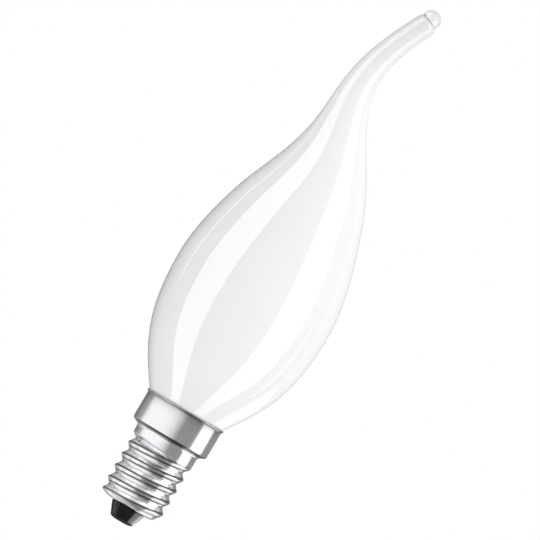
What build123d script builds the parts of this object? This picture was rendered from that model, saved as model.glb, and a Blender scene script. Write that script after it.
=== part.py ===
"""Bent-tip candle lamp with a 14 mm screw cap.

Five pieces, as they come apart on a bench: the white glass envelope with its drawn and bent tip, the
sheet-metal screw cap with its rolled thread, the ring of basing cement that holds the glass in the cap,
the black moulded insulator and the riveted centre contact.

Millimetres. +Z points up along the cap's axis, the origin is the centre of the contact's flat face, and
the tip bends towards +X.
"""

import os
from math import cos, pi, radians, sin, tan

from build123d import *

# Heights of the cap's zones, stacked from the contact's face up to the lip
contact_height = 0.55
insulator_height = 2.85
thread_length = 14.25
band_height = 1.65
shoulder_height = 0.8
skirt_height = 6.0
lip_height = 0.5

# Screw cap
sheet = 0.25
thread_pitch = 2.822
crest_diameter = 13.8
root_diameter = 12.1
thread_runout = 1.2
crest_mark = 6.3
bottom_radius = 2.0
band_diameter = 14.1
skirt_diameter = 17.25
sections_per_turn = 4

# Insulator and centre contact
insulator_mouth_diameter = 7.7
insulator_tip_diameter = 5.3
collar_height = 1.5
contact_diameter = 5.2
contact_flat_diameter = 2.4
contact_edge = 0.1
rivet_diameter = 1.8

# Fits between the pieces
fit_gap = 0.03
cement_film = 0.06
cement_width = 0.675

# Glass envelope, measured along its centre line from the lip
neck_length = 5.8
flare_angle = 35.7
flare_reach = 10.8
belly_diameter = 35.1
belly_height = 28.2
belly_reach_below = 13.8
belly_reach_above = 5.1
taper_height = 48.4
taper_diameter = 25.9
taper_angle = 22.6
taper_reach_below = 4.0
taper_reach_above = 20.0
tail_diameter = 4.9
tail_reach = 26.7
tail_taper = 0.06

# Bend of the drawn tip, from the taper up: a lean away from +X, then a sweep towards it
lean_height = 20.8
sweep_height = 24.2
sweep_reach = 8.36
tip_height = 44.5
tip_reach = 2.6
bead_diameter = 4.1
bead_rise = 1.3
bead_seat_diameter = 3.8

# Conical bands that stand for the curves of the glass
flare_bands = 4
belly_bands = 3
tail_bands = 25

# Levels on the axis
insulator_level = contact_height
floor_level = insulator_level + insulator_height
band_level = floor_level + thread_length
shoulder_level = band_level + band_height
skirt_level = shoulder_level + shoulder_height
lip_level = skirt_level + skirt_height
rim_level = lip_level + lip_height

# Radii that several pieces share
root_radius = root_diameter / 2
bore_radius = root_radius - sheet
band_radius = band_diameter / 2
skirt_radius = skirt_diameter / 2
skirt_bore_radius = skirt_radius - sheet
mouth_radius = insulator_mouth_diameter / 2
rivet_radius = rivet_diameter / 2
neck_radius = skirt_bore_radius - cement_width
contact_radius = contact_diameter / 2
contact_flat_radius = contact_flat_diameter / 2
flare_slope = tan(radians(flare_angle))
lip_radius = skirt_radius + lip_height * flare_slope
rim_glass_radius = lip_radius - sheet - cement_film
flare_level = rim_level - (rim_glass_radius - neck_radius) / flare_slope
neck_level = rim_level - neck_length
collar_level = floor_level + bottom_radius + collar_height

os.makedirs("parts", exist_ok=True)


# Rolled thread: each level is a circle whose centre circles the axis once a pitch, right-handed
mean_radius = (crest_diameter + root_diameter) / 4
half_depth = (crest_diameter - root_diameter) / 4


def thread_section(level):
    """Offset, direction and radius of the thread's circle at a level above the cap's floor."""
    share = min(1.0, level / thread_runout, (thread_length - level) / thread_runout)
    radius = mean_radius
    if level > thread_length - thread_runout:
        radius = band_radius + (mean_radius - band_radius) * share
    if level < bottom_radius:
        drop = bottom_radius - level
        radius += (bottom_radius**2 - drop**2) ** 0.5 - bottom_radius
    turn = pi + 2 * pi * (level - crest_mark) / thread_pitch
    return half_depth * share, turn, radius


with BuildPart() as screw_cap:
    # The threaded zone, from the turned-in bottom edge to the plain band
    steps = round(sections_per_turn * thread_length / thread_pitch)
    levels = [thread_length * step / steps for step in range(steps + 1)]
    levels.insert(1, levels[1] / 2)
    for level in levels:
        offset_out, turn, radius = thread_section(level)
        centre = (offset_out * cos(turn), offset_out * sin(turn), floor_level + level)
        with BuildSketch(Plane(origin=centre)):
            Circle(radius)
    loft(ruled=True)
    # Band, slanted shoulder, skirt and flared lip
    with BuildSketch(Plane.XZ):
        with BuildLine():
            Polyline(
                (0, band_level),
                (band_radius, band_level),
                (band_radius, shoulder_level),
                (skirt_radius, skirt_level),
                (skirt_radius, lip_level),
                (lip_radius, rim_level),
                (0, rim_level),
                close=True,
            )
        make_face()
    revolve(axis=Axis.Z)
    # The inside, one sheet thickness away from the outside
    with BuildSketch(Plane.XZ):
        with BuildLine():
            Polyline(
                (0, floor_level),
                (mouth_radius, floor_level),
                (mouth_radius, floor_level + sheet),
                (bore_radius, floor_level + bottom_radius),
                (bore_radius, skirt_level),
                (skirt_bore_radius, skirt_level),
                (skirt_bore_radius, lip_level),
                (lip_radius - sheet, rim_level),
                (0, rim_level),
                close=True,
            )
        make_face()
    revolve(axis=Axis.Z, mode=Mode.SUBTRACT)
screw_cap.part.label = "screw_cap"
export_step(screw_cap.part, "parts/screw_cap.step")


with BuildPart() as insulator:
    # Cone below the cap, and the collar that fills the turned-in bottom of the shell
    with BuildSketch(Plane.XZ):
        with BuildLine():
            Polyline(
                (rivet_radius + fit_gap, insulator_level),
                (insulator_tip_diameter / 2, insulator_level),
                (mouth_radius - fit_gap, floor_level),
                (mouth_radius - fit_gap, floor_level + bottom_radius),
                (bore_radius - fit_gap, floor_level + bottom_radius),
                (bore_radius - fit_gap, collar_level),
                (rivet_radius + fit_gap, collar_level),
                close=True,
            )
        make_face()
    revolve(axis=Axis.Z)
insulator.part.label = "insulator"
export_step(insulator.part, "parts/insulator.step")


with BuildPart() as centre_contact:
    # Domed plate with a flat middle, and the rivet that holds it in the insulator
    with BuildSketch(Plane.XZ):
        with BuildLine():
            Polyline(
                (0, 0),
                (contact_flat_radius, 0),
                (contact_radius, contact_height - contact_edge),
                (contact_radius, contact_height),
                (rivet_radius, contact_height),
                (rivet_radius, collar_level),
                (0, collar_level),
                close=True,
            )
        make_face()
    revolve(axis=Axis.Z)
centre_contact.part.label = "centre_contact"
export_step(centre_contact.part, "parts/centre_contact.step")


with BuildPart() as basing_cement:
    # Ring between the glass neck and the skirt, up to the lip
    cement_inner = neck_radius + fit_gap
    cement_outer = skirt_bore_radius - fit_gap
    with BuildSketch(Plane.XZ):
        with BuildLine():
            Polyline(
                (cement_inner, neck_level),
                (cement_outer, neck_level),
                (cement_outer, flare_level),
                (cement_inner, flare_level),
                close=True,
            )
        make_face()
    revolve(axis=Axis.Z)
basing_cement.part.label = "basing_cement"
export_step(basing_cement.part, "parts/basing_cement.step")


# Centre line of the envelope: straight through neck and belly, then the bend of the drawn tip
taper_level = rim_level + taper_height
with BuildLine(Plane.XZ) as centre_line:
    Line((0, neck_level), (0, taper_level))
    Bezier(
        (0, taper_level),
        (0, taper_level + lean_height),
        (-sweep_reach, taper_level + sweep_height),
        (tip_reach, taper_level + tip_height),
    )
spine = centre_line.wire()

# Radius against length along the centre line: flare to belly, belly to taper, taper to tip
belly_radius = belly_diameter / 2
taper_radius = taper_diameter / 2
tail_radius = tail_diameter / 2
rim_at = neck_length
belly_at = rim_at + belly_height
taper_at = rim_at + taper_height
tip_at = spine.length
along_taper = (cos(radians(taper_angle)), -sin(radians(taper_angle)))
along_flare = (cos(radians(flare_angle)), sin(radians(flare_angle)))
with BuildLine() as meridian:
    flare_curve = Bezier(
        (rim_at, rim_glass_radius),
        (rim_at + flare_reach * along_flare[0], rim_glass_radius + flare_reach * along_flare[1]),
        (belly_at - belly_reach_below, belly_radius),
        (belly_at, belly_radius),
    )
    belly_curve = Bezier(
        (belly_at, belly_radius),
        (belly_at + belly_reach_above, belly_radius),
        (taper_at - taper_reach_below * along_taper[0], taper_radius - taper_reach_below * along_taper[1]),
        (taper_at, taper_radius),
    )
    tail_curve = Bezier(
        (taper_at, taper_radius),
        (taper_at + taper_reach_above * along_taper[0], taper_radius + taper_reach_above * along_taper[1]),
        (tip_at - tail_reach, tail_radius + tail_taper),
        (tip_at, tail_radius),
    )


def spine_plane(distance):
    """Plane across the centre line at a distance from the neck's end, its second axis on the +X side."""
    return Plane(
        origin=spine.position_at(distance, PositionMode.LENGTH),
        x_dir=(0, -1, 0),
        z_dir=spine.tangent_at(distance, PositionMode.LENGTH),
    )


with BuildPart() as glass_envelope:
    # Neck, blown body and drawn tip, through circles across the centre line
    stations = [Vector(0, neck_radius), Vector(flare_level - neck_level, neck_radius)]
    for curve, bands in ((flare_curve, flare_bands), (belly_curve, belly_bands), (tail_curve, tail_bands)):
        stations += [curve @ (band / bands) for band in range(bands)]
    for station in stations:
        with BuildSketch(spine_plane(station.X)):
            Circle(station.Y)
    tip_plane = spine_plane(tip_at)
    bead_plane = tip_plane.offset(bead_rise)
    for end, radius in ((tip_plane, tail_radius), (bead_plane, bead_seat_diameter / 2)):
        with BuildSketch(end):
            Circle(radius)
    loft(ruled=True)
    # Melted bead at the end of the tip
    with Locations(bead_plane):
        Sphere(bead_diameter / 2)
glass_envelope.part.label = "glass_envelope"
export_step(glass_envelope.part, "parts/glass_envelope.step")
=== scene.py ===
"""Looks of the bent-tip candle bulb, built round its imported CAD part.

Sizes are in millimetres, as in the part's source, and become metres when a mesh is made. +Z runs along the
cap's axis, the tip bends towards +X, and the camera looks along +Y.
"""

from math import cos, exp, pi, radians, sin, sqrt, tan

import bpy
import numpy as np
from mathutils import Matrix, Vector


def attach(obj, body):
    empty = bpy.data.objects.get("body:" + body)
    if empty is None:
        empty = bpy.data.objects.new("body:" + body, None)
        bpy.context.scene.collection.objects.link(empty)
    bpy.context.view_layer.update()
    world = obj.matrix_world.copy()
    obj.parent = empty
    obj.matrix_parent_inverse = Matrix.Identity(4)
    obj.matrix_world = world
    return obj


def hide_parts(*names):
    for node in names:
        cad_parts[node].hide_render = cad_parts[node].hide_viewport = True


MM = 0.001

# Cap: levels of its zones and its sizes
insulator_level = 0.55
floor_level = 3.4
band_level = 17.65
skirt_level = 20.1
rim_level = 26.6
sheet = 0.25
band_radius = 7.05
skirt_radius = 8.625
mouth_radius = 3.85

# Rolled thread: crest's level on the -X side, share of a turn below the crest, roundings and run-outs
thread_pitch = 2.72
crest_radius = 6.9
root_radius = 6.05
crest_mark = 9.6
lower_share = 0.5
crest_round = 0.15
valley_round = 0.27
thread_runout = 1.1
band_dip = 1.0
bottom_height = 1.3
turned_in_radius = 4.35

# Painted dark reflection lines along the thread: place and width in shares of a turn, and depth, then their
# drift
painted_crest_line = (-0.02, 0.078, 1.0)
painted_foot_line = (-0.36, 0.07, 0.9)
painted_line_drift = (0.02, 0.033, 0.085)

# Curved shoulder between band and skirt, its slope in degrees
shoulder_start = 18.6
shoulder_hollow = 0.9
shoulder_round = 0.5
shoulder_slope = 65.0

# Rolled rim: its flare beyond the skirt by level, its edge, and radius and level of its fold inwards
rim_flare = ((0.0, 25.75), (0.015, 25.86), (0.06, 25.95), (0.15, 26.06), (0.23, 26.16))
rim_round = 0.1
rim_edge_radius = 8.98
rim_edge_level = 26.33
rim_fold = ((8.76, 26.58), (8.72, 26.6), (8.66, 26.56))
fold_level = 25.9

# Painted shade: dark corner under the skirt, dark foot of the rim, and darker plating below it
corner_level = 19.75
corner_half_width = 0.12
corner_above = 0.15
corner_below = 0.5
corner_depth = 0.97
rim_foot_level = 26.07
rim_foot_width = 0.25
rim_foot_depth = 0.66
rim_shade_level = 25.6
rim_shade_height = 0.9
rim_shade_depth = 0.25

# Insulator: its bore, its bevelled tip, and the groove that parts it from the cap
insulator_bore_radius = 1.0
insulator_tip_radius = 2.65
bevel_in = 0.15
bevel_up = 0.12
groove_width = 0.11
groove_depth = 0.3
groove_drop = 0.2
groove_slant = 0.02
collar_height = 1.0

# Contact: radius and level of its dome, and the shade of each point from the middle out and back behind
contact_middle_radius = 0.05
contact_radius = 2.6
contact_dome = ((1.2, 0.0), (1.8, 0.08), (2.3, 0.24), (contact_radius, 0.45))
contact_darkening = (1.0, 0.8, 0.3, 0.12, 0.12, 0.5, 1.0)

# Cement: its foot above the skirt's lower edge, and radius and level of the bulge that shows at the lip
cement_foot = 0.8
cement_bulge = ((8.66, 26.5), (8.8, 26.57), (8.82, 26.62), (8.78, 26.67))
cement_top_level = 26.67

# Glass envelope along its centre line, from the neck's end up
neck_level = 20.8
neck_radius = 7.7
flare_level = 25.27
rim_glass_radius = 8.674
flare_angle = radians(35.7)
flare_reach = 10.8
belly_radius = 17.55
belly_height = 27.5
belly_reach_below = 13.0
belly_reach_above = 5.7
taper_radius = 12.22
taper_height = 50.1
taper_angle = radians(21.7)
taper_reach_below = 9.2
taper_reach_above = 16.5
tail_radius = 2.45
tail_reach = 28.0
tail_taper = 0.06
tail_grey = 0.11
tail_grey_length = 22.0

# Bend of the tip, from just above the belly, and the clear bead at its end
bend_level = 73.9
lean_height = 23.1
sweep_height = 24.8
sweep_reach = 8.36
tip_height = 45.6
tip_reach = 2.6
end_round = 1.4
end_rise = 0.9
bead_radius = 2.0
bead_rise = 1.1
bead_shift = 0.33

# Mesh fineness: points round and along, and angles of the rings over the glass's end and the bead
segments = 200
bead_segments = 96
thread_rows = 300
row_spread = 1.15
plain_rows = 3
line_points = 800
curve_points = 60
tail_points = 140
end_angles = np.radians(np.arange(0, 91, 10))
bead_angles = np.radians(np.arange(-60, 88, 4))
probe_step = 0.05

# Camera: what it looks at, how far it stands, how wide it sees and how the bulb leans in the picture
aim = Vector((0.31, 0.0, 59.86)) * MM
camera_distance = 5.0
view_width = 110.4 * MM
lean_in_view = radians(30.48)

# Room light: its level, and how much stronger it is from the right
room_level = 1.01
room_lean = 0.34

# Room in the gloss: its grey, how it dims overhead and below, and its dark side behind the bulb on the left
gloss_level = 0.38
gloss_dim_heights = (0.8, 0.99)
gloss_dim_level = 0.03
dark_side = (-0.34, 0.94, 0.0)
dark_side_reach = (0.75, 0.97)
dark_side_share = 0.25

# White seen through the bead, weaker towards the sides
through_reach = (0.3, 0.8)
through_low = 0.6

# Studio panels and floor, in metres; a shaped panel's edge is in shares of its width from its centre
panel_distance = 0.7
panel_edge = (0.5, 0.48)
floor_drop = 0.09
floor_half = 6.0
floor_fade = (0.1, 0.25)
floor_grey = 0.93

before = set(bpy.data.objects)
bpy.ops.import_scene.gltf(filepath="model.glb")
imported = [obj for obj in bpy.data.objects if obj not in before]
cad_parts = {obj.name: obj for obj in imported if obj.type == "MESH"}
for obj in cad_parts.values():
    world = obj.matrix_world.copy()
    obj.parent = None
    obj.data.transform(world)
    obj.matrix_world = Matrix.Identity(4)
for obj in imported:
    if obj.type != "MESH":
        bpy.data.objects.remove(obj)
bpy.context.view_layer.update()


def bezier(points, share):
    """Points of a cubic curve at the shares of its run."""
    a, b, c, d = (np.array(point, float) for point in points)
    t = np.asarray(share, float)[:, None]
    return a * (1 - t) ** 3 + 3 * b * t * (1 - t) ** 2 + 3 * c * t**2 * (1 - t) + d * t**3


def skin(name, rings, material, sharp_angle=40.0, cap_ends=True, normals=None, shade=None):
    """Mesh through rings of points in millimetres, closed by a face at each end.

    Normals are given for every point where they are known, and are zero where the faces set them. Shade is
    how much of its colour the material keeps at every point.
    """
    rings = np.asarray(rings, float)
    rows, count, _ = rings.shape
    at = np.arange(rows * count).reshape(rows, count)
    ahead = np.roll(at, -1, axis=1)
    faces = np.stack([at[:-1], ahead[:-1], ahead[1:], at[1:]], axis=-1).reshape(-1, 4).tolist()
    if cap_ends:
        faces += [at[0][::-1].tolist(), at[-1].tolist()]
    mesh = bpy.data.meshes.new(name)
    mesh.from_pydata((rings.reshape(-1, 3) * MM).tolist(), [], faces)
    mesh.polygons.foreach_set("use_smooth", [True] * len(mesh.polygons))
    mesh.set_sharp_from_angle(angle=radians(sharp_angle))
    if normals is not None:
        mesh.normals_split_custom_set_from_vertices(np.asarray(normals).reshape(-1, 3).tolist())
    if shade is not None:
        mesh.attributes.new("shade", "FLOAT", "POINT").data.foreach_set("value", np.asarray(shade).ravel())
    mesh.materials.append(material)
    piece = bpy.data.objects.new(name, mesh)
    bpy.context.scene.collection.objects.link(piece)
    return piece


def turn_angles(count=segments):
    """Even angles round an axis."""
    return 2 * pi * np.arange(count) / count


def level_ring(radius, level):
    """Ring round the cap's axis. The radius is one number or one for each angle."""
    angles = turn_angles()
    reach = radius + np.zeros(segments)
    return np.stack([reach * np.cos(angles), reach * np.sin(angles), np.full(segments, level)], axis=1)


def lathe(name, profile, material, sharp_angle, shade=None):
    """Mesh turned about the cap's axis from radius and level pairs, with a shade for each where given."""
    rings = [level_ring(radius, level) for radius, level in profile]
    if shade:
        shade = [np.full(segments, value) for value in shade]
    return skin(name, rings, material, sharp_angle, shade=shade)


def arc(centre, radius, start, end, steps):
    """Radius and level pairs on an arc, with angles in degrees from the outward direction."""
    angles = [radians(start + (end - start) * step / steps) for step in range(steps + 1)]
    return [(centre[0] + radius * cos(angle), centre[1] + radius * sin(angle)) for angle in angles]


def straight(start, end, steps):
    """Radius and level pairs inside a straight run, without its ends."""
    shares = [step / steps for step in range(1, steps)]
    return [tuple(a + (b - a) * share for a, b in zip(start, end)) for share in shares]


def shader(name):
    """New material, its nodes and its shader node."""
    material = bpy.data.materials.new(name)
    material.use_nodes = True
    return material, material.node_tree, material.node_tree.nodes["Principled BSDF"]


def math_node(tree, operation, *values):
    """Output of a maths node. Each value is a number or another node's output."""
    node = tree.nodes.new("ShaderNodeMath")
    node.operation = operation
    for socket, value in zip(node.inputs, values):
        if isinstance(value, float):
            socket.default_value = value
        else:
            tree.links.new(value, socket)
    return node.outputs["Value"]


def ramp_node(tree, value, start, end, low=0.0, high=1.0, run="SMOOTHSTEP"):
    """Output of a node that runs from low to high while the value runs from start to end."""
    node = tree.nodes.new("ShaderNodeMapRange")
    node.interpolation_type = run
    node.inputs["From Min"].default_value = start
    node.inputs["From Max"].default_value = end
    node.inputs["To Min"].default_value = low
    node.inputs["To Max"].default_value = high
    tree.links.new(value, node.inputs["Value"])
    return node.outputs["Result"]


def mix_node(tree, share, first, second):
    """Output of a node that mixes two shaders."""
    node = tree.nodes.new("ShaderNodeMixShader")
    for socket, value in zip(node.inputs, (share, first, second)):
        tree.links.new(value, socket)
    return node.outputs["Shader"]


def backdrop(tree, strength=None):
    """Output of a white background, of strength 1 where no other is given."""
    node = tree.nodes.new("ShaderNodeBackground")
    node.inputs["Color"].default_value = (1.0, 1.0, 1.0, 1.0)
    if strength is not None:
        tree.links.new(strength, node.inputs["Strength"])
    return node.outputs["Background"]


def mottled(tree, low, high, scale, detail=2.0):
    """Colour that drifts between two close values over the surface."""
    nodes, links = tree.nodes, tree.links
    place = nodes.new("ShaderNodeTexCoord")
    noise = nodes.new("ShaderNodeTexNoise")
    noise.inputs["Scale"].default_value = scale
    noise.inputs["Detail"].default_value = detail
    ramp = nodes.new("ShaderNodeValToRGB")
    ramp.color_ramp.elements[0].position = 0.35
    ramp.color_ramp.elements[1].position = 0.65
    ramp.color_ramp.elements[0].color = (*low, 1.0)
    ramp.color_ramp.elements[1].color = (*high, 1.0)
    links.new(place.outputs["Object"], noise.inputs["Vector"])
    links.new(noise.outputs["Fac"], ramp.inputs["Fac"])
    return ramp.outputs["Color"]


def shaded(tree, colour):
    """Colour times the mesh's own shade, which is painted shade on the cap."""
    shade_reader = tree.nodes.new("ShaderNodeAttribute")
    shade_reader.attribute_name = "shade"
    shaded_colour = tree.nodes.new("ShaderNodeMix")
    shaded_colour.data_type = "RGBA"
    shaded_colour.blend_type = "MULTIPLY"
    shaded_colour.inputs["Factor"].default_value = 1.0
    tree.links.new(colour, shaded_colour.inputs["A"])
    tree.links.new(shade_reader.outputs["Color"], shaded_colour.inputs["B"])
    return shaded_colour.outputs["Result"]


def white_glass():
    """Opaque white glass with a glossy skin, a little greyer towards the end of the tip."""
    material, tree, node = shader("white_glass")
    colour = mottled(tree, (0.914, 0.922, 0.922), (0.928, 0.936, 0.937), 60.0)
    tree.links.new(shaded(tree, colour), node.inputs["Base Color"])
    node.inputs["Roughness"].default_value = 0.03
    node.inputs["IOR"].default_value = 1.6
    return material


def clear_glass():
    """Clear glass of the bead."""
    material, tree, node = shader("clear_glass")
    colour = mottled(tree, (0.89, 0.9, 0.9), (0.93, 0.93, 0.93), 400.0)
    tree.links.new(colour, node.inputs["Base Color"])
    node.inputs["Roughness"].default_value = 0.02
    node.inputs["IOR"].default_value = 1.5
    node.inputs["Transmission Weight"].default_value = 1.0
    return material


def plated_metal():
    """Bright nickel plate, with painted shade in corners and painted dark reflection lines on the thread.
    """
    material, tree, node = shader("plated_metal")
    colour = mottled(tree, (0.655, 0.659, 0.673), (0.695, 0.7, 0.712), 300.0)
    tree.links.new(shaded(tree, colour), node.inputs["Base Color"])
    node.inputs["Metallic"].default_value = 1.0
    node.inputs["Roughness"].default_value = 0.16
    return material


def black_insulator():
    """Glossy black moulding."""
    material, tree, node = shader("black_insulator")
    colour = mottled(tree, (0.003, 0.003, 0.003), (0.006, 0.006, 0.006), 500.0)
    tree.links.new(colour, node.inputs["Base Color"])
    node.inputs["Roughness"].default_value = 0.12
    node.inputs["Specular IOR Level"].default_value = 0.3
    return material


def contact_metal():
    """Dull tinned contact, darker on its dome than in its middle by the mesh's shade."""
    material, tree, node = shader("contact_metal")
    colour = mottled(tree, (0.5, 0.5, 0.49), (0.62, 0.62, 0.6), 900.0, 6.0)
    tree.links.new(shaded(tree, colour), node.inputs["Base Color"])
    node.inputs["Metallic"].default_value = 1.0
    node.inputs["Roughness"].default_value = 0.38
    return material


def cement_paste():
    """Matt pale cement."""
    material, tree, node = shader("cement")
    colour = mottled(tree, (0.7, 0.67, 0.58), (0.8, 0.77, 0.68), 1500.0, 6.0)
    tree.links.new(colour, node.inputs["Base Color"])
    node.inputs["Roughness"].default_value = 0.8
    return material


def centre_line():
    """Points of the envelope's centre line and their lengths along it from the neck's end."""
    bend = bezier(
        (
            (0, bend_level),
            (0, bend_level + lean_height),
            (-sweep_reach, bend_level + sweep_height),
            (tip_reach, bend_level + tip_height),
        ),
        np.linspace(0, 1, line_points),
    )
    line = np.vstack([[(0, neck_level)], bend])
    lengths = np.concatenate([[0], np.cumsum(np.linalg.norm(np.diff(line, axis=0), axis=1))])
    return line, lengths


def envelope_outline(tip_at):
    """Length along the centre line and radius, from the neck's end to the tip."""
    rim_at = rim_level - neck_level
    belly_at = rim_at + belly_height
    taper_at = rim_at + taper_height
    flare = np.array((cos(flare_angle), sin(flare_angle)))
    taper = np.array((cos(taper_angle), -sin(taper_angle)))
    rim_point = np.array((rim_at, rim_glass_radius))
    taper_point = np.array((taper_at, taper_radius))
    belly_point = np.array((belly_at, belly_radius))
    tip_point = np.array((tip_at, tail_radius))
    below_belly = belly_point - (belly_reach_below, 0)
    above_belly = belly_point + (belly_reach_above, 0)
    below_tip = tip_point + (-tail_reach, tail_taper)
    before_taper = taper_point - taper_reach_below * taper
    after_taper = taper_point + taper_reach_above * taper
    run = np.linspace(0, 1, curve_points, endpoint=False)
    pieces = [
        np.array([(0, neck_radius), (flare_level - neck_level, neck_radius)]),
        bezier((rim_point, rim_point + flare_reach * flare, below_belly, belly_point), run),
        bezier((belly_point, above_belly, before_taper, taper_point), run),
        bezier((taper_point, after_taper, below_tip, tip_point), np.linspace(0, 1, tail_points)),
    ]
    return np.vstack(pieces)


def ring_across(centre, along, radius, count=segments):
    """Ring square to a direction in the plane of the bend."""
    angles = turn_angles(count)
    out = radius * np.cos(angles)
    x = centre[0] + out * along[1]
    z = centre[1] - out * along[0]
    return np.stack([x, radius * np.sin(angles), z], axis=1)


def tip_frame():
    """End of the centre line and its direction there."""
    line, _ = centre_line()
    along = line[-1] - line[-2]
    return line[-1], along / np.linalg.norm(along)


def build_envelope(material):
    """White glass from the neck inside the cap to the rounded end under the bead."""
    line, lengths = centre_line()
    tip_at = lengths[-1]

    def place(at):
        return np.array([np.interp(at, lengths, line[:, axis]) for axis in (0, 1)])

    rings = []
    shade = []
    outline = envelope_outline(tip_at)
    for at, radius in outline[outline[:, 0] < tip_at + end_rise - end_round]:
        tipward = np.clip((at - tip_at + tail_grey_length) / tail_grey_length, 0, 1)
        shade.append(np.full(segments, 1 - tail_grey * tipward))
        along = place(at + probe_step) - place(at - probe_step)
        rings.append(ring_across(place(at), along / np.linalg.norm(along), radius))
    tip, along = tip_frame()
    for angle in end_angles:
        centre = tip + (end_rise - end_round * (1 - sin(angle))) * along
        rings.append(ring_across(centre, along, tail_radius - end_round * (1 - cos(angle))))
        shade.append(np.full(segments, 1 - tail_grey))
    return skin("glass_envelope_skin", rings, material, shade=shade)


def build_bead(material):
    """Clear melted bead in the rounded end of the tip, towards the outer side of the bend."""
    tip, along = tip_frame()
    across = np.array((along[1], -along[0]))
    rings = []
    for angle in bead_angles:
        centre = tip + (bead_rise + bead_radius * sin(angle)) * along - bead_shift * across
        rings.append(ring_across(centre, along, bead_radius * cos(angle), bead_segments))
    return skin("tip_bead", rings, material)


def thread_phase(level, angles):
    """Shares of a turn above the nearest crest, negative on its lower side."""
    turns = (level - crest_mark) / thread_pitch - (angles - pi) / (2 * pi)
    return (turns + lower_share) % 1.0 - lower_share


def below_band(level, angles):
    """Share of the thread's full depth below the band, whose edge dips on the +X side to meet a crest."""
    band_edge = band_level - band_dip * (1 + np.cos(angles)) / 2
    return np.clip((band_edge - level) / thread_runout, 0.0, 1.0)


def thread_reach(level, angles):
    """Radii of the rolled thread at a level: straight sides between round crests and round valleys."""
    phase = thread_phase(level, angles)
    way = np.where(phase > 0, phase / (1 - lower_share), -phase / lower_share)
    slope = 1 / (1 - (crest_round + valley_round) / 2)
    crest = 1 - slope * way**2 / (2 * crest_round)
    flank = 1 - slope * (way - crest_round / 2)
    valley = slope * (1 - way) ** 2 / (2 * valley_round)
    height = np.where(way < crest_round, crest, np.where(way < 1 - valley_round, flank, valley))
    reach = root_radius + (crest_radius - root_radius) * height
    share = below_band(level, angles)
    reach = band_radius + (reach - band_radius) * share * share * (3 - 2 * share)
    drop = min(1.0, max(0.0, 1 - (level - floor_level) / bottom_height))
    return turned_in_radius + (reach - turned_in_radius) * sqrt(1 - drop * drop)


def thread_normals(level):
    """Directions square to the thread at a level, from how its radius changes round and along the axis."""
    angles = turn_angles()
    step = 0.002
    radius = thread_reach(level, angles)
    round_change = (thread_reach(level, angles + step) - thread_reach(level, angles - step)) / (2 * step)
    rise_change = (thread_reach(level + step, angles) - thread_reach(level - step, angles)) / (2 * step)
    lean = round_change / radius
    x = np.cos(angles) + lean * np.sin(angles)
    y = np.sin(angles) - lean * np.cos(angles)
    normals = np.stack([x, y, -rise_change], axis=1)
    return normals / np.linalg.norm(normals, axis=1)[:, None]


def thread_painted_shade(level):
    """Painted dark reflection lines round the thread at a level, fading where the thread runs out."""
    angles = turn_angles()
    across = np.cos(angles)
    # the painted lines drift round the turn as reflections would
    drift = painted_line_drift[0] + painted_line_drift[1] * across + painted_line_drift[2] * across**2
    phase = thread_phase(level, angles) - drift
    full = np.minimum(below_band(level, angles), (level - floor_level) / bottom_height)
    shade = np.ones(segments)
    for place, width, depth in (painted_crest_line, painted_foot_line):
        off = (phase - place + 0.5) % 1.0 - 0.5
        shade *= 1 - full * depth * np.exp(-((off / width) ** 2))
    return shade


def upper_painted_shade(level):
    """Painted shade above the thread: dark under the skirt and at the rim's foot, darker towards the rim.
    """
    above = max(0.0, level - corner_level - corner_half_width)
    below = max(0.0, corner_level - corner_half_width - level)
    corner = corner_depth * exp(-((above / corner_above) ** 2)) * max(0.0, 1 - below / corner_below)
    rim = rim_foot_depth * exp(-(((level - rim_foot_level) / rim_foot_width) ** 2))
    rim_fall = rim_shade_depth * exp(min(0.0, (level - rim_shade_level) / rim_shade_height))
    return (1 - corner) * (1 - rim) * (1 - rim_fall)


def cap_outline():
    """Radius and level pairs from the band over the shoulder, skirt and rolled rim to the inside."""
    slope = radians(shoulder_slope)
    hollow_centre = (band_radius + shoulder_hollow, shoulder_start)
    hollow_end = shoulder_start + shoulder_hollow * sin(slope)
    hollow_reach = band_radius + shoulder_hollow * (1 - cos(slope))
    round_reach = skirt_radius - shoulder_round * (1 - cos(slope))
    round_start = hollow_end + (round_reach - hollow_reach) / tan(slope)
    round_level = round_start + shoulder_round * sin(slope)
    flare = [(skirt_radius + out, level) for out, level in rim_flare]
    inner = skirt_radius - sheet
    outline = arc(hollow_centre, shoulder_hollow, 180, 180 - shoulder_slope, 24)
    outline += straight((hollow_reach, hollow_end), (round_reach, round_start), 8)
    outline += arc((skirt_radius - shoulder_round, round_level), shoulder_round, -shoulder_slope, 0, 10)
    outline += straight((skirt_radius, round_level), flare[0], 16)
    outline += flare
    outline += arc((rim_edge_radius - rim_round, rim_edge_level), rim_round, -45, 45, 8)
    return outline + [*rim_fold, (inner, fold_level), (inner, skirt_level + sheet)]


def build_cap(material):
    """Screw cap: turned-in bottom, thread, band, shoulder, skirt and rolled rim, with its inside."""
    unset = np.zeros((segments, 3))
    rings = [level_ring(mouth_radius, floor_level + sheet), level_ring(mouth_radius, floor_level)]
    normals = [unset] * 2
    shade = [np.ones(segments)] * 2
    for row in range(thread_rows + 1):
        level = floor_level + (band_level - floor_level) * (row / thread_rows) ** row_spread
        rings.append(level_ring(thread_reach(level, turn_angles()), level))
        normals.append(thread_normals(level) if row >= plain_rows else unset)
        # the thread's painted dark reflection lines
        shade.append(thread_painted_shade(level))
    upper = cap_outline()
    rings += [level_ring(radius, level) for radius, level in upper]
    normals += [unset] * len(upper)
    # painted shade under the skirt, at the rim's foot and towards the rim
    shade += [np.full(segments, upper_painted_shade(level)) for _, level in upper]
    return skin("screw_cap_skin", rings, material, 50.0, cap_ends=False, normals=normals, shade=shade)


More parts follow.
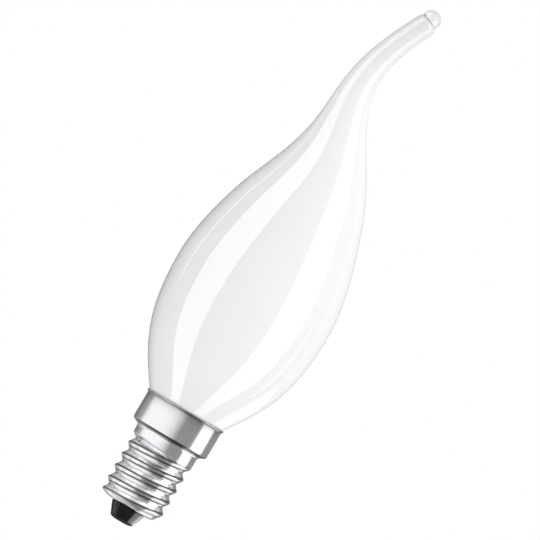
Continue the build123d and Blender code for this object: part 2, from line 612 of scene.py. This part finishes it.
def build_insulator(material):
    """Black cone under the cap."""
    groove_level = floor_level - groove_drop
    groove_radius = mouth_radius - groove_depth
    profile = [
        (insulator_bore_radius, insulator_level),
        (insulator_tip_radius - bevel_in, insulator_level),
        (insulator_tip_radius, insulator_level + bevel_up),
        (mouth_radius - groove_width, groove_level),
        (groove_radius, groove_level + groove_slant),
        (groove_radius, floor_level + collar_height),
    ]
    return lathe("insulator_skin", profile, material, 15.0)


def build_contact(material):
    """Domed contact plate under the insulator."""
    profile = [
        (contact_middle_radius, 0.0),
        *contact_dome,
        (contact_radius, insulator_level),
        (contact_middle_radius, insulator_level),
    ]
    return lathe("centre_contact_skin", profile, material, 60.0, contact_darkening)


def build_cement(material):
    """Ring of cement between the glass and the lip."""
    inner = skirt_radius - sheet
    foot_level = skirt_level + cement_foot
    profile = [
        (neck_radius, foot_level),
        (inner, foot_level),
        (inner, fold_level),
        *cement_bulge,
        (neck_radius, cement_top_level),
    ]
    return lathe("basing_cement_skin", profile, material, 60.0)


def dress():
    """Every visible piece, riding on the part's one body. Returns the pieces by name."""
    rows = (
        (build_envelope(white_glass()), "glass_envelope", "white_glass"),
        (build_cap(plated_metal()), "screw_cap", "plated_metal"),
        (build_insulator(black_insulator()), "insulator", "black_insulator"),
        (build_contact(contact_metal()), "centre_contact", "contact_metal"),
        (build_cement(cement_paste()), "basing_cement", "cement"),
    )
    for piece, node, slot in rows:
        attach(piece, "root")
        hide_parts(node)
    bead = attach(build_bead(clear_glass()), "root")
    pieces = {node: piece for piece, node, slot in rows}
    pieces["bead"] = bead
    return pieces


def shape_panel(lamp, sides, ends):
    """Shapes a panel's light, in shares of its size.

    Sides are pairs of places across it where the light is dark and full. Ends are its centre and width at
    its foot and at its head.
    """
    lamp.use_nodes = True
    tree = lamp.node_tree
    place = tree.nodes.new("ShaderNodeNewGeometry")
    split = tree.nodes.new("ShaderNodeSeparateXYZ")
    tree.links.new(place.outputs["Parametric"], split.inputs["Vector"])
    across, along = split.outputs["X"], split.outputs["Y"]
    shares = [ramp_node(tree, across, *side) for side in sides]
    if ends:
        foot, head = ends
        centre, width = (math_node(tree, "MULTIPLY_ADD", along, b - a, a) for a, b in zip(foot, head))
        off_centre = math_node(tree, "ABSOLUTE", math_node(tree, "SUBTRACT", across, centre))
        shares.append(ramp_node(tree, math_node(tree, "DIVIDE", off_centre, width), *panel_edge))
    product = shares[0]
    for share in shares[1:]:
        product = math_node(tree, "MULTIPLY", product, share)
    tree.links.new(product, tree.nodes["Emission"].inputs["Strength"])


def hang_panel(name, azimuths, elevations, brightness, receivers, sides=(), ends=()):
    """Flat studio panel that shows in the gloss of the receivers.

    Azimuth 0 is behind the camera, 90 on the right and -90 on the left, in degrees.
    """
    azimuth, elevation = (radians(sum(pair) / 2) for pair in (azimuths, elevations))
    spans = [radians(pair[1] - pair[0]) for pair in (azimuths, elevations)]
    wide, tall = (2 * panel_distance * tan(span / 2) for span in spans)
    towards = Vector((sin(azimuth) * cos(elevation), -cos(azimuth) * cos(elevation), sin(elevation)))
    lamp = bpy.data.lights.new(name, "AREA")
    lamp.shape = "RECTANGLE"
    lamp.size = wide
    lamp.size_y = tall
    lamp.energy = brightness * pi * wide * tall
    if sides or ends:
        shape_panel(lamp, sides, ends)
    panel = bpy.data.objects.new(name, lamp)
    bpy.context.scene.collection.objects.link(panel)
    panel.location = aim + towards * panel_distance
    panel.rotation_euler = towards.to_track_quat("Z", "Y").to_euler()
    panel.visible_camera = False
    panel.visible_diffuse = False
    panel.visible_transmission = False
    group = bpy.data.collections.new(name)
    for piece in receivers:
        group.objects.link(piece)
    panel.light_linking.receiver_collection = group


def hang_panels(pieces):
    """Soft boxes round the bulb, set apart for the glass, the metal and the insulator."""
    glass = [pieces["glass_envelope"], pieces["bead"]]
    metal = [pieces["screw_cap"]]
    black = [pieces["insulator"]]
    hang_panel("glass left", (-91, -34), (-70, 62), 2.55, glass, ends=((0.475, 0.415), (0.5, 1.0)))
    hang_panel("glass right", (34, 95), (-70, 62), 2.0, glass, ends=((0.43, 0.385), (0.515, 0.93)))
    hang_panel("glass back right", (118, 178), (-50, 50), 0.3, glass)
    hang_panel("glass low right", (118, 150), (-48, -18), 0.8, glass)
    hang_panel("glass left line", (-115, -113), (-5, 45), 2.5, glass)
    hang_panel("glass right line", (101, 103), (-35, 0), 2.0, glass)
    hang_panel("metal left", (-118, 22), (-78, 68), 1.0, metal, sides=((0.05, 0.36), (0.9, 0.52)))
    hang_panel("metal right", (66, 113), (-48, 64), 1.4, metal)
    hang_panel("metal high gap", (12, 68), (52, 66), 1.0, metal)
    hang_panel("metal ceiling", (-28, 28), (62, 118), 1.4, metal)
    hang_panel("metal floor", (-28, 28), (-118, -62), 0.25, metal)
    hang_panel("metal low left", (-165, -114), (-75, -34), 0.5, metal)
    hang_panel("metal low right", (98, 150), (-62, -25), 1.0, metal)
    hang_panel("metal high right", (110, 155), (25, 64), 0.5, metal)
    hang_panel("metal back left", (-178, -118), (-50, 50), 0.16, metal)
    hang_panel("metal high left", (-126, -92), (42, 62), 0.5, metal)
    hang_panel("metal back high left", (-178, -118), (12, 50), 0.25, metal)
    hang_panel("metal back low left", (-178, -118), (-50, -12), 0.25, metal)
    hang_panel("insulator right", (81.5, 148.5), (-62, -8), 5.0, black)
    hang_panel("insulator left", (-122, -80), (-48, -12), 0.8, black)


def light_world():
    """Soft light that is stronger from the right, a grey room in the gloss, and white for the camera."""
    world = bpy.data.worlds.new("studio")
    bpy.context.scene.world = world
    world.use_nodes = True
    tree = world.node_tree
    tree.nodes.clear()
    place = tree.nodes.new("ShaderNodeTexCoord")
    split = tree.nodes.new("ShaderNodeSeparateXYZ")
    tree.links.new(place.outputs["Generated"], split.inputs["Vector"])
    path = tree.nodes.new("ShaderNodeLightPath")
    # Light on the surfaces
    soft = backdrop(tree, math_node(tree, "MULTIPLY_ADD", split.outputs["X"], room_lean, room_level))
    # What gloss shows: grey round the horizon, dark overhead, below, and behind the bulb on the left
    height = math_node(tree, "ABSOLUTE", split.outputs["Z"])
    dimmed = ramp_node(tree, height, *gloss_dim_heights, gloss_level, gloss_dim_level)
    facing = tree.nodes.new("ShaderNodeVectorMath")
    facing.operation = "DOT_PRODUCT"
    facing.inputs[1].default_value = dark_side
    tree.links.new(place.outputs["Generated"], facing.inputs[0])
    dark = ramp_node(tree, facing.outputs["Value"], *dark_side_reach, 1.0, dark_side_share)
    gloss = backdrop(tree, math_node(tree, "MULTIPLY", dimmed, dark))
    # What the camera sees, also through the clear bead
    behind = ramp_node(tree, split.outputs["Y"], *through_reach, through_low, 1.0, "LINEAR")
    through = math_node(tree, "MULTIPLY", path.outputs["Is Transmission Ray"], behind)
    seen = math_node(tree, "MAXIMUM", path.outputs["Is Camera Ray"], through)
    room = mix_node(tree, path.outputs["Is Glossy Ray"], soft, gloss)
    output = tree.nodes.new("ShaderNodeOutputWorld")
    tree.links.new(mix_node(tree, seen, room, backdrop(tree)), output.inputs["Surface"])


def lay_floor():
    """Pale floor below the bulb, which turns into the white background further out."""
    mesh = bpy.data.meshes.new("floor")
    square = ((-1, -1), (1, -1), (1, 1), (-1, 1))
    corners = [(x * floor_half, y * floor_half, -floor_drop) for x, y in square]
    mesh.from_pydata(corners, [], [(0, 1, 2, 3)])
    material, tree, node = shader("floor")
    node.inputs["Base Color"].default_value = (floor_grey, floor_grey, floor_grey, 1.0)
    node.inputs["Roughness"].default_value = 0.9
    node.inputs["Specular IOR Level"].default_value = 0.0
    place = tree.nodes.new("ShaderNodeTexCoord")
    reach = tree.nodes.new("ShaderNodeVectorMath")
    reach.operation = "LENGTH"
    tree.links.new(place.outputs["Object"], reach.inputs[0])
    far = ramp_node(tree, reach.outputs["Value"], *floor_fade)
    path = tree.nodes.new("ShaderNodeLightPath")
    seen = math_node(tree, "MULTIPLY", path.outputs["Is Camera Ray"], far)
    white = tree.nodes.new("ShaderNodeEmission")
    surface = mix_node(tree, seen, node.outputs["BSDF"], white.outputs["Emission"])
    tree.links.new(surface, tree.nodes["Material Output"].inputs["Surface"])
    mesh.materials.append(material)
    floor = bpy.data.objects.new("floor", mesh)
    bpy.context.scene.collection.objects.link(floor)
    floor.visible_glossy = False


def set_camera():
    """Long lens square to the bulb's axis, rolled so that the bulb leans to the right."""
    data = bpy.data.cameras.new("camera")
    data.sensor_width = 36.0
    data.lens = data.sensor_width * camera_distance / view_width
    camera = bpy.data.objects.new("camera", data)
    bpy.context.scene.collection.objects.link(camera)
    right = Vector((cos(lean_in_view), 0.0, sin(lean_in_view)))
    up = Vector((-sin(lean_in_view), 0.0, cos(lean_in_view)))
    back = Vector((0.0, -1.0, 0.0))
    turn = Matrix((right, up, back)).transposed().to_4x4()
    camera.matrix_world = Matrix.Translation(aim + back * camera_distance) @ turn
    bpy.context.scene.camera = camera


hang_panels(dress())
light_world()
lay_floor()
set_camera()
bpy.context.scene.view_settings.view_transform = "Standard"
